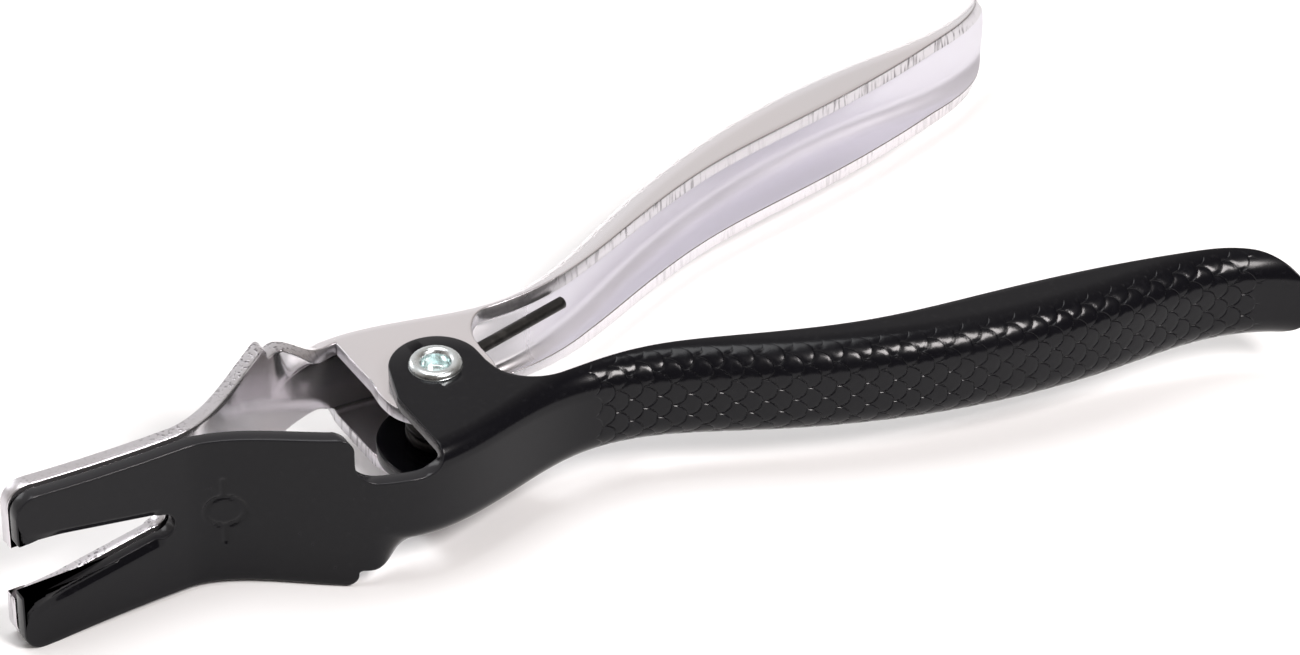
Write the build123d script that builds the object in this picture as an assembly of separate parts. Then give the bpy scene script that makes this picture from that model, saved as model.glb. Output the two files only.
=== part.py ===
"""Spring-closed hose separating pliers: two pressed steel levers, a rivet and a torsion spring.

Frame: the origin is on the pivot axis, at the flat outer face of the rivet's factory head. +Z runs
up the pivot axis, +X towards the handles, and the forked jaws point to -X. The black lever lies on
the -Y side. Every piece is drawn about the stack's mid-plane, halfway between the two outer ears,
and set in the frame at the end. There the plated lever is the same pressing as the black one,
turned half a turn about X.
"""
from build123d import *
from math import cos, radians, sin, tan
import os

# ---- sheet and pivot stack -------------------------------------------------------------------
SHEET = 2.6               # thickness of the pressed sheet
LAYER_GAP = 0.1           # running gap between an inner ear and the outer ear on it
BEND_RADIUS = 3.8         # outside radius of the fold between web and cheek
OUTER_EAR = 7.8           # radius of the ear on the outside of the stack
INNER_EAR = 10.4          # radius of the ear on the inside of the stack

# ---- jaw: a forked plate ---------------------------------------------------------------------
JAW_TIP = 80.5            # pivot axis to the prong tips
JAW_GAP = 1.0             # between the two jaws' inner faces at rest
JAW_FLAT = 50.0           # pivot axis to where the jaws start to spread
JAW_BACK = 25.0           # pivot axis to the back edge of the jaw plate
JAW_HALF_TIP = 16.2       # half height of the fork at its tips
JAW_HALF_WAIST = 14.7     # half height of the fork at its waist
JAW_HALF_BACK = 15.4      # half height of the plate at its back edge
PRONG_ROUND = 4.0         # corner radius of a prong's tip
BACK_ROUND = 2.2          # corner radius at the back of the plate
SLOT_DEPTH = 26.1         # prong tips to the centre of the slot's round root
SLOT_ROOT_RADIUS = 2.7
SLOT_HALF_ANGLE = 10.8    # degrees, each edge of the V slot from the fork's centre line

# ---- neck: the strip between the jaw plate and the cheeks ------------------------------------
NECK_TOP = 6.0            # height of the neck's upper edge
NECK_ROUND = 4.2          # radius of the notch's corners
NECK_FOOT = 12.2          # height of the neck's lower edge below the middle, at the jaw plate
FOOT_ROUND = 0.8          # radius of the small corner under the neck, at the jaw plate
CHEEK_FRONT = 9.8         # pivot axis to the cheeks' front edges
NECK_BOW = 20.9           # mid-plane to the neck's outer face, at its widest
NECK_BOW_AT = 15.0        # pivot axis to where the neck is widest
NECK_START = 16.2         # mid-plane to the outer face, at the back of the jaw plate

# ---- handle ----------------------------------------------------------------------------------
GRIP_START = 20.0         # pivot axis to the waist, where the grip starts
WAIST_OUT = 16.5          # mid-plane to the web's outer face, at the waist
WAIST_DEPTH = 3.6         # web's outer face to the cheeks' cut edge, at the waist
EAR_SWEEP = 9.7           # radius of the hollow between the ear and the waist
GRIP_OUT = 44.9           # mid-plane to the web's outer face, where the grip runs level
GRIP_LINE = ((0.243, 0.415), (0.486, 0.827), (0.745, 1.0))    # shares of length and of swing
EDGE_LINE = ((0.951, 1.130), (0.874, 0.965), (0.729, 0.792), (0.567, 0.658),
             (0.405, 0.521), (0.243, 0.264), (0.130, 0.074), (0.049, 0.007))
HANDLE_END = 143.5        # pivot axis to the end of the handle, along X
FLARE_LENGTH = 13.0       # length of the flare at the handle's end
FLARE_START = 1.7         # how far the web has moved out from the grip where the flare starts
FLARE = 9.1               # how far it has moved out at the handle's end
LIP_HEIGHT = 2.8          # height of the lip at the handle's end
END_ROUND = 8.6           # radius of the handle's rounded end

# ---- rivet -----------------------------------------------------------------------------------
RIVET_RADIUS = 3.2
RIVET_FIT = 0.05          # radial clearance of the rivet in the ears
RIVET_HEAD_LAP = 1.7      # how far the factory head reaches past the shank
RIVET_HEAD = 1.2
RIVET_ROLL_LAP = 1.45     # how far the rolled-over end reaches past the shank
RIVET_ROLL = 1.1
RIVET_WALL = 0.75         # wall round the hollow of the rolled-over end
RIVET_BORE_DEPTH = 3.1
RIVET_EASE = 0.4          # rounding of the head and of the rolled end

# ---- torsion spring --------------------------------------------------------------------------
WIRE = 2.2
COIL_FIT = 0.2            # between the coil and the rivet's shank
TURN_GAP = 0.2            # between one turn and the next
COIL_END_GAP = 0.08       # between the coil and an inner ear
WHOLE_TURNS = 3           # turns of the coil, besides the part turn that the legs' angle adds
LEG_ANGLE = 12.0          # degrees, each leg from the X axis
LEG_END = 31.3            # pivot axis to the end of a leg, along X
KNUCKLE = 0.03            # how much the knuckle where a leg leaves the coil is rounder than the wire
LEG_START = 0.1           # from the knuckle's centre to the start of its leg, inside the knuckle

# ---- worked out ------------------------------------------------------------------------------
SPRING_RADIUS = RIVET_RADIUS + COIL_FIT + WIRE / 2
COIL_TURNS = WHOLE_TURNS + (180 - 2 * LEG_ANGLE) / 360
COIL_PITCH = WIRE + TURN_GAP
COIL_RISE = COIL_PITCH * COIL_TURNS
EAR_INSIDE = (COIL_RISE + WIRE) / 2 + COIL_END_GAP
INNER_EAR_FACE = EAR_INSIDE + SHEET
OUTER_EAR_FACE = INNER_EAR_FACE + LAYER_GAP + SHEET
WEB_TOP = OUTER_EAR_FACE
WEB_BOTTOM = -INNER_EAR_FACE
WEB_MIDDLE = (WEB_TOP + WEB_BOTTOM) / 2
JAW_OUT = JAW_GAP / 2 + SHEET
SLOT_ROOT = JAW_TIP - SLOT_DEPTH
WAIST_EDGE = WAIST_OUT - WAIST_DEPTH
HANDLE_END_OUT = GRIP_OUT + FLARE
RIVET_HEAD_RADIUS = RIVET_RADIUS + RIVET_HEAD_LAP
RIVET_ROLL_RADIUS = RIVET_RADIUS + RIVET_ROLL_LAP
RIVET_BORE_RADIUS = RIVET_RADIUS - RIVET_WALL
REACH = 2 * (JAW_TIP + HANDLE_END)    # for cuts that go right through
CLOSE = 0.01              # how near two places count as one
ON_CURVE = 0.02           # how near an edge's middle lies to a curve that it follows
LEVEL = 0.1               # most climb along an edge that counts as level
SEAM = 0.01               # how far the neck's side view runs into the cheeks
OFFSET_STEPS = 48         # points that the sheet's inner face is drawn through


def grip_point(share, swing, base):
    """Point of the grip in plan, by shares of its length past the waist and of its outward swing."""
    along = GRIP_START + share * (HANDLE_END - GRIP_START)
    return along, -base - swing * (GRIP_OUT - WAIST_OUT)


def web_line():
    """Outer face of the sheet in plan: straight jaw, bowed neck, waist, then the grip's sweep."""
    jaw = Line((-JAW_TIP, -JAW_OUT), (-JAW_FLAT, -JAW_OUT))
    sweep = Spline(
        (-JAW_FLAT, -JAW_OUT), (-JAW_BACK - 1, -NECK_START), (-NECK_BOW_AT, -NECK_BOW),
        (GRIP_START, -WAIST_OUT),
        *[grip_point(share, swing, WAIST_OUT) for share, swing in GRIP_LINE],
        (HANDLE_END - FLARE_LENGTH, -GRIP_OUT - FLARE_START), (HANDLE_END, -HANDLE_END_OUT),
        tangents=((1, 0), (1, -1)))
    return jaw, sweep


def inner_line():
    """Inner face of the sheet in plan, one thickness inside the outer face."""
    sweep = web_line()[1]
    points = []
    for step in range(OFFSET_STEPS + 1):
        place = sweep @ (step / OFFSET_STEPS)
        along = sweep % (step / OFFSET_STEPS)
        points.append((place.X - along.Y * SHEET, place.Y + along.X * SHEET))
    jaw = Line((-JAW_TIP, SHEET - JAW_OUT), points[0])
    return jaw, Spline(*points)


def cheek_edge():
    """Cut edge of the cheeks in plan, from the lip's tip back to beside the ear."""
    waist = (OUTER_EAR + EAR_SWEEP, -WAIST_EDGE)
    grip = Spline(
        (HANDLE_END, LIP_HEIGHT - HANDLE_END_OUT),
        *[grip_point(share, swing, WAIST_EDGE) for share, swing in EDGE_LINE], waist)
    hollow = RadiusArc(waist, (OUTER_EAR, EAR_SWEEP - WAIST_EDGE), EAR_SWEEP)
    return grip, hollow


def closed_face(*edges):
    return make_face(Wire(list(edges)))


def beyond(sweep):
    """Plan of everything on the +Y side of a web line."""
    start = sweep @ 0
    end = sweep @ 1
    around = Polyline(end, (REACH, end.Y), (REACH, REACH), (start.X, REACH), start)
    return closed_face(sweep, *around.edges())


def cheek_plan(ear):
    """Plan of one cheek: the handle inside its cut edge, and the ear round the rivet."""
    sweep = web_line()[1]
    grip, hollow = cheek_edge()
    start = sweep @ 0
    back = Polyline(hollow @ 1, (0, 0), (start.X, 0), start)
    handle = closed_face(sweep, Line(sweep @ 1, grip @ 0), grip, hollow, *back.edges())
    front = Polygon(
        (-CHEEK_FRONT, -REACH), (REACH, -REACH), (REACH, 0), (0, 0), (-CHEEK_FRONT, -CHEEK_FRONT / 2),
        align=None)
    shank = [
        Line((-CHEEK_FRONT, -CHEEK_FRONT / 2), (-CHEEK_FRONT, -WAIST_OUT + SHEET)),
        Line((-CHEEK_FRONT, -WAIST_OUT + SHEET), (OUTER_EAR, -WAIST_OUT + SHEET)),
    ]
    return (handle & front) + make_hull([Edge.make_circle(ear)] + shank)


def channel_side(inset):
    """Side view of the handle's channel, rounded at its end, drawn in by an inset."""
    top = WEB_TOP - inset
    bottom = WEB_BOTTOM + inset
    end = HANDLE_END - inset
    box = Pos((end - JAW_BACK) / 2, (top + bottom) / 2) * Rectangle(end + JAW_BACK, top - bottom)
    corners = box.vertices().group_by(Axis.X)[-1]
    return fillet(corners, END_ROUND - inset)


def through_y(face):
    """A side view, drawn in X and Z, carried right through along Y."""
    turned = Plane.XZ * face
    return extrude(turned, REACH, both=True)


def jaw_side():
    """Side view of the jaw plate and the neck, with the V slot and the notch behind the plate."""
    tip = -JAW_TIP
    back = -JAW_BACK
    upper = ThreePointArc(
        (tip, JAW_HALF_TIP), (-JAW_FLAT, JAW_HALF_WAIST), (back, JAW_HALF_BACK))
    lower = ThreePointArc(
        (back, -JAW_HALF_BACK), (-JAW_FLAT, -JAW_HALF_WAIST), (tip, -JAW_HALF_TIP))
    plate = closed_face(
        upper, Line(upper @ 1, lower @ 0), lower, Line(lower @ 1, upper @ 0))
    plate = fillet(plate.vertices().group_by(Axis.X)[-1], BACK_ROUND)
    neck = Polygon(
        (back - NECK_ROUND, -NECK_FOOT), (back, -NECK_FOOT), (-CHEEK_FRONT, WEB_BOTTOM),
        (-CHEEK_FRONT, WEB_TOP),
        (-CHEEK_FRONT - SEAM, WEB_TOP), (-CHEEK_FRONT - SEAM, NECK_TOP),
        (back - NECK_ROUND, NECK_TOP), align=None)
    side = plate + neck
    notch = [v for v in side.vertices() if abs(v.Y - NECK_TOP) < CLOSE]
    side = fillet(notch, NECK_ROUND)
    foot = [v for v in side.vertices() if abs(v.Y + NECK_FOOT) < CLOSE and abs(v.X - back) < CLOSE]
    side = fillet(foot, FOOT_ROUND)
    return side - slot_side()


def slot_side():
    """Side view of the V slot, with a round root."""
    half = radians(SLOT_HALF_ANGLE)
    touch = (-SLOT_ROOT - SLOT_ROOT_RADIUS * sin(half), SLOT_ROOT_RADIUS * cos(half))
    mouth = JAW_TIP + PRONG_ROUND
    wide = touch[1] + (mouth + touch[0]) * tan(half)
    wedge = Polygon((-mouth, wide), (-mouth, -wide), (touch[0], -touch[1]), touch, align=None)
    return wedge + Pos(-SLOT_ROOT, 0) * Circle(SLOT_ROOT_RADIUS)


def lever():
    """One pressed lever, as the black one lies."""
    jaw, sweep = web_line()
    inner_jaw, inner_sweep = inner_line()
    block = extrude(beyond(sweep), WEB_TOP - WEB_BOTTOM)
    block = Pos(0, 0, WEB_BOTTOM) * block
    folds = [e for e in block.edges() if on_curve(e, sweep)]
    block = fillet(folds, BEND_RADIUS)
    hollow = extrude(beyond(inner_sweep), REACH, both=True) & through_y(channel_side(SHEET))

    upper = Pos(0, 0, WEB_MIDDLE) * extrude(cheek_plan(OUTER_EAR), WEB_TOP - WEB_MIDDLE)
    lower = Pos(0, 0, WEB_BOTTOM) * extrude(cheek_plan(INNER_EAR), WEB_MIDDLE - WEB_BOTTOM)
    channel = block & (upper + lower) & through_y(channel_side(0))
    channel -= hollow

    strip = closed_face(
        jaw, sweep, Line(sweep @ 1, inner_sweep @ 1), inner_sweep, inner_jaw,
        Line(inner_jaw @ 0, jaw @ 0))
    plate = extrude(strip, REACH, both=True) & through_y(jaw_side())
    prongs = [e for e in plate.edges().filter_by(Axis.Y) if abs(e.center().X + JAW_TIP) < CLOSE]
    plate = fillet(prongs, PRONG_ROUND)
    whole = channel + plate
    return whole - Cylinder(RIVET_RADIUS + RIVET_FIT, 2 * REACH)


def on_curve(edge, curve):
    """Whether an edge runs level, straight above or below a plan curve."""
    if abs(edge.tangent_at(0.5).Z) > LEVEL:
        return False
    spot = edge.position_at(0.5)
    return curve.distance_to(Vector(spot.X, spot.Y, 0)) < ON_CURVE


def rivet():
    """Semi-tubular rivet: a domed factory head below, a rolled-over hollow end on top."""
    head = Pos(0, 0, -OUTER_EAR_FACE - RIVET_HEAD / 2) * Cylinder(RIVET_HEAD_RADIUS, RIVET_HEAD)
    head = fillet(head.edges().group_by(Axis.Z)[0], RIVET_EASE)
    roll = Pos(0, 0, OUTER_EAR_FACE + RIVET_ROLL / 2) * Cylinder(RIVET_ROLL_RADIUS, RIVET_ROLL)
    roll = fillet(roll.edges().group_by(Axis.Z)[-1], RIVET_EASE)
    body = head + Cylinder(RIVET_RADIUS, 2 * OUTER_EAR_FACE) + roll
    top = OUTER_EAR_FACE + RIVET_ROLL
    bore = Pos(0, 0, top - RIVET_BORE_DEPTH / 2) * Cylinder(RIVET_BORE_RADIUS, RIVET_BORE_DEPTH)
    point = Pos(0, 0, top - RIVET_BORE_DEPTH - RIVET_BORE_RADIUS / 4) * Cone(
        0, RIVET_BORE_RADIUS, RIVET_BORE_RADIUS / 2)
    body -= bore + point
    mouth = body.edges().filter_by(GeomType.CIRCLE).group_by(Axis.Z)[-1].sort_by(SortBy.RADIUS)[0]
    return fillet(mouth, RIVET_EASE / 2)


def torsion_spring():
    """Close-wound coil round the rivet, with a straight leg to each lever's corner.

    The coil turns clockwise as it climbs. Each leg leaves it at a tangent, so the coil starts and
    stops where its radius is square to a leg.
    """
    coil = Helix(COIL_PITCH, COIL_RISE, SPRING_RADIUS, lefthand=True)
    coil = Pos(0, 0, -COIL_RISE / 2) * Rot(0, 0, -90 - LEG_ANGLE) * coil
    section = Plane(coil @ 0, z_dir=coil % 0) * Circle(WIRE / 2)
    wound = sweep(section, path=coil, is_frenet=True)
    return wound + leg(-COIL_RISE / 2, -1) + leg(COIL_RISE / 2, 1)


def leg(height, side):
    """Round knuckle at the coil's end on one side of the mid-plane, and the straight leg from it."""
    angle = radians(LEG_ANGLE)
    start = Vector(-SPRING_RADIUS * sin(angle), side * SPRING_RADIUS * cos(angle), height)
    along = Vector(cos(angle), side * sin(angle), 0)
    length = (LEG_END - start.X) / cos(angle) - LEG_START
    straight = extrude(Plane(start + along * LEG_START, z_dir=along) * Circle(WIRE / 2), length)
    return Pos(start) * Sphere(WIRE / 2 + KNUCKLE) + straight


def main():
    os.makedirs("parts", exist_ok=True)
    black = lever()
    pieces = {
        "black_lever": black,
        "plated_lever": Rot(180, 0, 0) * black,
        "pivot_rivet": rivet(),
        "torsion_spring": torsion_spring(),
    }
    in_frame = Pos(0, 0, OUTER_EAR_FACE + RIVET_HEAD)
    for name, piece in pieces.items():
        export_step(in_frame * piece, f"parts/{name}.step")


if __name__ == "__main__":
    main()
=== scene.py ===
"""Hose separating pliers: two pressed steel levers, a rivet and a torsion spring, with their finishes.

Lengths are in metres. A lever is one sheet. Its shape is worked out flat first, as (x, w), where x
runs along the tool and w is the width measured over the folds, and is then folded into place.
"""

import bpy
import numpy as np
from bpy.props import FloatProperty, FloatVectorProperty, IntProperty, PointerProperty
from bpy.types import Operator, Panel, PropertyGroup
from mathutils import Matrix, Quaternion, Vector


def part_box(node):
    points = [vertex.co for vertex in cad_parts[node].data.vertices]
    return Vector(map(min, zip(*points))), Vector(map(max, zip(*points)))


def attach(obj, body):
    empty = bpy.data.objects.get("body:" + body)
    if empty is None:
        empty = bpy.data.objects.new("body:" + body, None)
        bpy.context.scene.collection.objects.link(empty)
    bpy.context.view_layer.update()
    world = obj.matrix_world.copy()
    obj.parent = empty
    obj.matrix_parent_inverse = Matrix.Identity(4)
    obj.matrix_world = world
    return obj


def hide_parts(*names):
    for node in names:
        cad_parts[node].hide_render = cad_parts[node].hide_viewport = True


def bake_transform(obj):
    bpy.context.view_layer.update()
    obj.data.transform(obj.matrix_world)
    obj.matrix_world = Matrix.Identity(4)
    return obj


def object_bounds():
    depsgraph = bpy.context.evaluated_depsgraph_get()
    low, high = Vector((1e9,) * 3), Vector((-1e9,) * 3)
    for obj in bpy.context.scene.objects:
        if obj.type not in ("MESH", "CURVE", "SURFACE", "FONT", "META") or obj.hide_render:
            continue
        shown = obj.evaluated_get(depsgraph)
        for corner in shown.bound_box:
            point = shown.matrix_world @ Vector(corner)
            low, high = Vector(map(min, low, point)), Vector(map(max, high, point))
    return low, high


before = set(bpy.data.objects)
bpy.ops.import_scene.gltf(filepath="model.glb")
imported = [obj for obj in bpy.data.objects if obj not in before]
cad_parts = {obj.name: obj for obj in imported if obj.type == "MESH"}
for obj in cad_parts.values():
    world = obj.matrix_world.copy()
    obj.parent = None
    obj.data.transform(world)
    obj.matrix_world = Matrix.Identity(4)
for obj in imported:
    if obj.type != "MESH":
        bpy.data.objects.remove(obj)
CAD_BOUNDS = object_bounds()

bl_info = {
    "name": "Hose Separating Pliers",
    "version": (1, 0, 0),
    "blender": (4, 5, 0),
    "location": "View3D > Sidebar > Pliers",
    "description": "Builds pressed steel hose separating pliers with their finishes",
    "category": "Add Mesh",
}

MM = 0.001
BORE_GAP = 0.05 * MM  # between the rivet's shank and the ears

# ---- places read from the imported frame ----
LEVER_LOW, LEVER_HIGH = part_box("black_lever")
RIVET_LOW, RIVET_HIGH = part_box("pivot_rivet")
SPRING_LOW, SPRING_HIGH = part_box("torsion_spring")
TIP = LEVER_LOW.x
END = LEVER_HIGH.x
END_OUT = LEVER_LOW.y
MIDDLE = (SPRING_LOW.z + SPRING_HIGH.z) / 2


# ======================================================================= sizes and colours
class SheetSizes(PropertyGroup):
    """Sizes of one pressed lever."""
    thickness: FloatProperty(
        name="Thickness", description="Thickness of the pressed sheet",
        default=2.6 * MM, unit="LENGTH")
    fold: FloatProperty(
        name="Fold Radius", description="Outside radius of the folds between web and cheeks",
        default=3.8 * MM, unit="LENGTH")
    grip_fold: FloatProperty(
        name="Grip Fold Radius", description="Outside radius of the grip's rounded sides",
        default=6.0 * MM, unit="LENGTH")
    ease: FloatProperty(
        name="Edge Ease", description="Radius of the cut edges",
        default=0.25 * MM, unit="LENGTH")
    slot_angle: FloatProperty(
        name="Slot Angle", description="Each edge of the V slot from the fork's centre line",
        default=np.radians(10.8), subtype="ANGLE")
    slot_root: FloatProperty(
        name="Slot Root Radius", description="Radius of the round root of the V slot",
        default=2.7 * MM, unit="LENGTH")
    bevel_width: FloatProperty(
        name="Slot Bevel Width", description="Width of the coined bevel along the slot",
        default=1.3 * MM, unit="LENGTH")
    bevel_depth: FloatProperty(
        name="Slot Bevel Depth", description="Depth of the coined bevel at the slot's edge",
        default=0.7 * MM, unit="LENGTH")
    scale_pitch: FloatProperty(
        name="Scale Pitch", description="Width of one pressed scale on the grip",
        default=4.6 * MM, unit="LENGTH")
    scale_depth: FloatProperty(
        name="Scale Depth", description="Depth of the grooves between the scales",
        default=0.09 * MM, unit="LENGTH")
    mark_depth: FloatProperty(
        name="Mark Depth", description="Depth of the pressed ring mark on the jaw",
        default=0.35 * MM, unit="LENGTH")


class RivetSizes(PropertyGroup):
    """Sizes of the pivot rivet and the spring's wire."""
    shank: FloatProperty(
        name="Shank Radius", description="Radius of the rivet's shank",
        default=3.2 * MM, unit="LENGTH")
    hollow: FloatProperty(
        name="Hollow Radius", description="Radius of the hollow in the rolled-over end",
        default=2.45 * MM, unit="LENGTH")
    hollow_depth: FloatProperty(
        name="Hollow Depth", description="Depth of the hollow in the rolled-over end",
        default=3.1 * MM, unit="LENGTH")
    wire: FloatProperty(
        name="Wire", description="Diameter of the spring's wire",
        default=2.2 * MM, unit="LENGTH")
    leg_angle: FloatProperty(
        name="Leg Angle", description="Each leg of the spring from the tool's long axis",
        default=np.radians(12.0), subtype="ANGLE")
    turns: IntProperty(
        name="Whole Turns", description="Whole turns of the spring's coil", default=3, min=1)


class FinishColours(PropertyGroup):
    """Colours of the finishes."""
    coat: FloatVectorProperty(
        name="Black Coat", description="Colour of the black lever's coat",
        default=(0.0035, 0.0035, 0.0050, 1.0), size=4, subtype="COLOR")
    plating: FloatVectorProperty(
        name="Plating", description="Colour of the bright lever",
        default=(0.86, 0.85, 0.88, 1.0), size=4, subtype="COLOR")
    zinc: FloatVectorProperty(
        name="Zinc", description="Colour of the rivet",
        default=(0.66, 0.71, 0.72, 1.0), size=4, subtype="COLOR")
    hollow: FloatVectorProperty(
        name="Rivet Hollow", description="Tint inside the rivet's hollow",
        default=(0.82, 0.92, 0.92, 1.0), size=4, subtype="COLOR")
    wire: FloatVectorProperty(
        name="Spring Wire", description="Colour of the spring",
        default=(0.018, 0.017, 0.016, 1.0), size=4, subtype="COLOR")


# ======================================================================= curves
def smooth_curve(points, first=None, last=None):
    """Cubic through points (x, y) with a continuous second derivative.

    The slope at each point solves the usual three-term equations. An end without a given slope is
    left free of curvature. Returns a function of x that gives the value and the slope.
    """
    xs, ys = np.array(points, float).T
    gap = np.diff(xs)
    rise = np.diff(ys) / gap
    count = len(xs)
    matrix = np.zeros((count, count))
    right = np.zeros(count)
    inner = np.arange(1, count - 1)
    matrix[inner, inner - 1] = 1 / gap[:-1]
    matrix[inner, inner] = 2 / gap[:-1] + 2 / gap[1:]
    matrix[inner, inner + 1] = 1 / gap[1:]
    right[inner] = 3 * (rise[:-1] / gap[:-1] + rise[1:] / gap[1:])
    for row, beside, given, slope in ((0, 1, first, rise[0]), (-1, -2, last, rise[-1])):
        matrix[row, row] = 1 if given is not None else 2
        matrix[row, beside] = 0 if given is not None else 1
        right[row] = given if given is not None else 3 * slope
    slopes = np.linalg.solve(matrix, right)

    def value(x):
        x = np.asarray(x, float)
        span = np.clip(np.searchsorted(xs, x) - 1, 0, count - 2)
        width = gap[span]
        t = (x - xs[span]) / width
        low, high = ys[span], ys[span + 1]
        leave, arrive = slopes[span] * width, slopes[span + 1] * width
        y = (low * (1 + 2 * t) * (1 - t) ** 2 + leave * t * (1 - t) ** 2
             + high * t * t * (3 - 2 * t) + arrive * t * t * (t - 1))
        slope = (low * (6 * t * t - 6 * t) + leave * (1 - 4 * t + 3 * t * t)
                 + high * (6 * t - 6 * t * t) + arrive * (3 * t * t - 2 * t)) / width
        return y, slope
    return value


def ramp(x, start, stop):
    """Smooth step from 0 at start to 1 at stop."""
    t = np.clip((x - start) / (stop - start), 0, 1)
    return t * t * (3 - 2 * t)


# ======================================================================= one pressed lever
class PressedSheet:
    """The black lever's sheet, about the middle of the stack. All the stations are arrays."""

    # places along the tool, from the jaws to the handle
    JAW_FLAT = -50 * MM  # the jaw is level up to here
    JAW_WAIST = -50 * MM  # the jaw plate is narrowest here
    CENTRE_START = -46 * MM  # the middle line moves over to the web's from here on
    PLATE_EVEN = -38 * MM  # stations stand level with the outline up to here
    CORNER_START = -29.5 * MM  # station where the plate's back corner begins
    JAW_BACK = -25 * MM  # the jaw plate's back edge
    FOLD_START = JAW_BACK + 2 * MM  # the folds begin to turn here
    FRONT = -9.8 * MM  # the cheeks' front edges
    EAR_START = -7.4 * MM  # station where the ears begin
    TROUGH = (2 * MM, 36 * MM)  # the folds' radius grows over this stretch
    WAIST = 17.5 * MM
    # heights and depths
    JAW_HALF = 14.7 * MM  # half height at the jaw's waist
    TIP_RISE = 1.5 * MM
    BACK_RISE = 0.7 * MM
    WEB_HIGH = 10.6 * MM
    WEB_LOW = -7.9 * MM
    NECK_TOP = 6.0 * MM
    NECK_FOOT = -12.2 * MM
    NECK_RISE = 1.9 * MM  # how much the neck's lower edge climbs to the cheeks
    JAW_OUT = 3.1 * MM
    SHOULDER = FRONT / 2  # where the front edges turn into the ears
    WAIST_EDGE = -12.9 * MM
    # rounds
    NOTCH = 4.2 * MM  # radius of the notch's corners
    BACK_ROUND = 2.2 * MM
    FOOT_ROUND = 0.8 * MM
    PRONG_ROUND = 4.0 * MM
    SLOT_DEPTH = 26.1 * MM
    OUTER_EAR = 7.8 * MM
    INNER_EAR = 10.4 * MM
    EAR_SWEEP = 9.7 * MM
    END_ROUND = 8.6 * MM
    # how finely the sheet is divided
    COLUMNS = (8, 22, 5)  # over half the web, a fold and a cheek
    TURN_ROWS = 8  # round a quarter of the back corner or of a notch
    TIP_ROWS = 12  # round a prong's tip, and round the slot's root
    PRONG_ROWS = 46
    PLATE_ROWS = 46
    LATE_ROWS = 14  # the last of the plate
    EDGE_ROWS = 4  # down the plate's back edge
    NECK_ROWS = 16
    FRONT_ROWS = 20
    EAR_ROWS = 44
    EAR_POINTS = 60  # of the ear's arc, before it is divided evenly
    WAIST_ROWS = 26
    GRIP_ROWS = 330
    END_ROWS = 26

    def __init__(self, sizes):
        self.sizes = sizes
        out = END_OUT / MM
        end = END / MM
        self.web = smooth_curve(np.array([
            (-50, -3.1), (-26, -16.2), (-15, -20.9), (20, -16.5), (50, -28.3), (80, -40.0),
            (112, -44.9), (end - 13, out + 7.4), (end, out)]) * MM, first=0.0, last=-1.0)
        self.edge = smooth_curve(np.array([
            (17.5, -12.9), (26, -13.1), (36, -15.0), (50, -20.4), (70, -27.7), (90, -31.6),
            (110, -35.4), (128, -40.3), (137.5, -45.0), (end, out + 2.8)]) * MM, first=0.0)
        self.spine_height = (self.WEB_HIGH + self.WEB_LOW) / 2
        self.half = (self.WEB_HIGH - self.WEB_LOW) / 2
        self.root = TIP + self.SLOT_DEPTH

    def web_at(self, x):
        """Outer face in plan: its y and slope, level along the jaw."""
        y, slope = self.web(np.maximum(x, self.JAW_FLAT))
        level = x <= self.JAW_FLAT
        return np.where(level, -self.JAW_OUT, y), np.where(level, 0.0, slope)

    def most_turn(self, x):
        """How far the folds turn: none on the jaw, and a right angle along the channel."""
        return np.pi / 2 * ramp(x, self.FOLD_START, self.FRONT)

    def fold_radius(self, x):
        """Outside radius of the folds, which grows from the waist into the grip's round trough."""
        sizes = self.sizes
        return sizes.fold + (sizes.grip_fold - sizes.fold) * ramp(x, *self.TROUGH)

    def flat_half(self, x):
        """Half width of the web's flat part."""
        return self.half - self.fold_radius(x)

    def folded(self, x):
        """Half width up to where a full fold ends."""
        return self.flat_half(x) + self.fold_radius(x) * np.pi / 2

    def place(self, x, w, sunk):
        """Folds the flat sheet: outer and inner points and the outward normals at (x, w).

        Past the web's flat half, w follows an arc of the fold's radius up to the fold's turn, and
        then runs straight. Depths are stretched by sqrt(1 + slope squared), because the sections
        are cut square to x and not to the sheet. The inner face lies one thickness inside.
        """
        radius = self.fold_radius(x)
        y, slope = self.web_at(x)
        stretch = np.sqrt(1 + slope ** 2)
        side = np.sign(w)
        flat = np.minimum(np.abs(w), self.flat_half(x))
        past = np.abs(w) - flat
        turn = np.minimum(past / radius, self.most_turn(x))
        straight = past - radius * turn
        depth = radius * (1 - np.cos(turn)) + straight * np.sin(turn)
        height = radius * np.sin(turn) + straight * np.cos(turn)
        inward = np.stack([-slope * np.cos(turn) / stretch, np.cos(turn) / stretch,
                           -side * np.sin(turn)], -1)
        z = self.spine_height + side * (flat + height)
        outer = np.stack([x, y + stretch * depth, z], -1) + inward * sunk[..., None]
        thick = self.sizes.thickness
        inner = np.stack([x, y + stretch * (depth + thick * np.cos(turn)),
                          z - side * thick * np.sin(turn)], -1)
        return outer, inner, -inward

    def over_fold(self, x, y):
        """Width coordinate of a cheek's point (x, y) in plan."""
        web, slope = self.web_at(x)
        depth = (y - web) / np.sqrt(1 + slope ** 2)
        radius = self.fold_radius(x)
        around = radius * np.arccos(np.clip(1 - depth / radius, 0, 1))
        return np.where(
            depth < radius, self.flat_half(x) + around, self.folded(x) + depth - radius)

    def jaw_half(self, x):
        """Half height of the jaw plate: least at its waist, with a parabola to each side of it."""
        waist = self.JAW_WAIST
        tip_rise = self.TIP_RISE * ((x - waist) / (TIP - waist)) ** 2
        back_rise = self.BACK_RISE * ((x - waist) / (self.JAW_BACK - waist)) ** 2
        return self.JAW_HALF + np.where(x < waist, tip_rise, back_rise)

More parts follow.
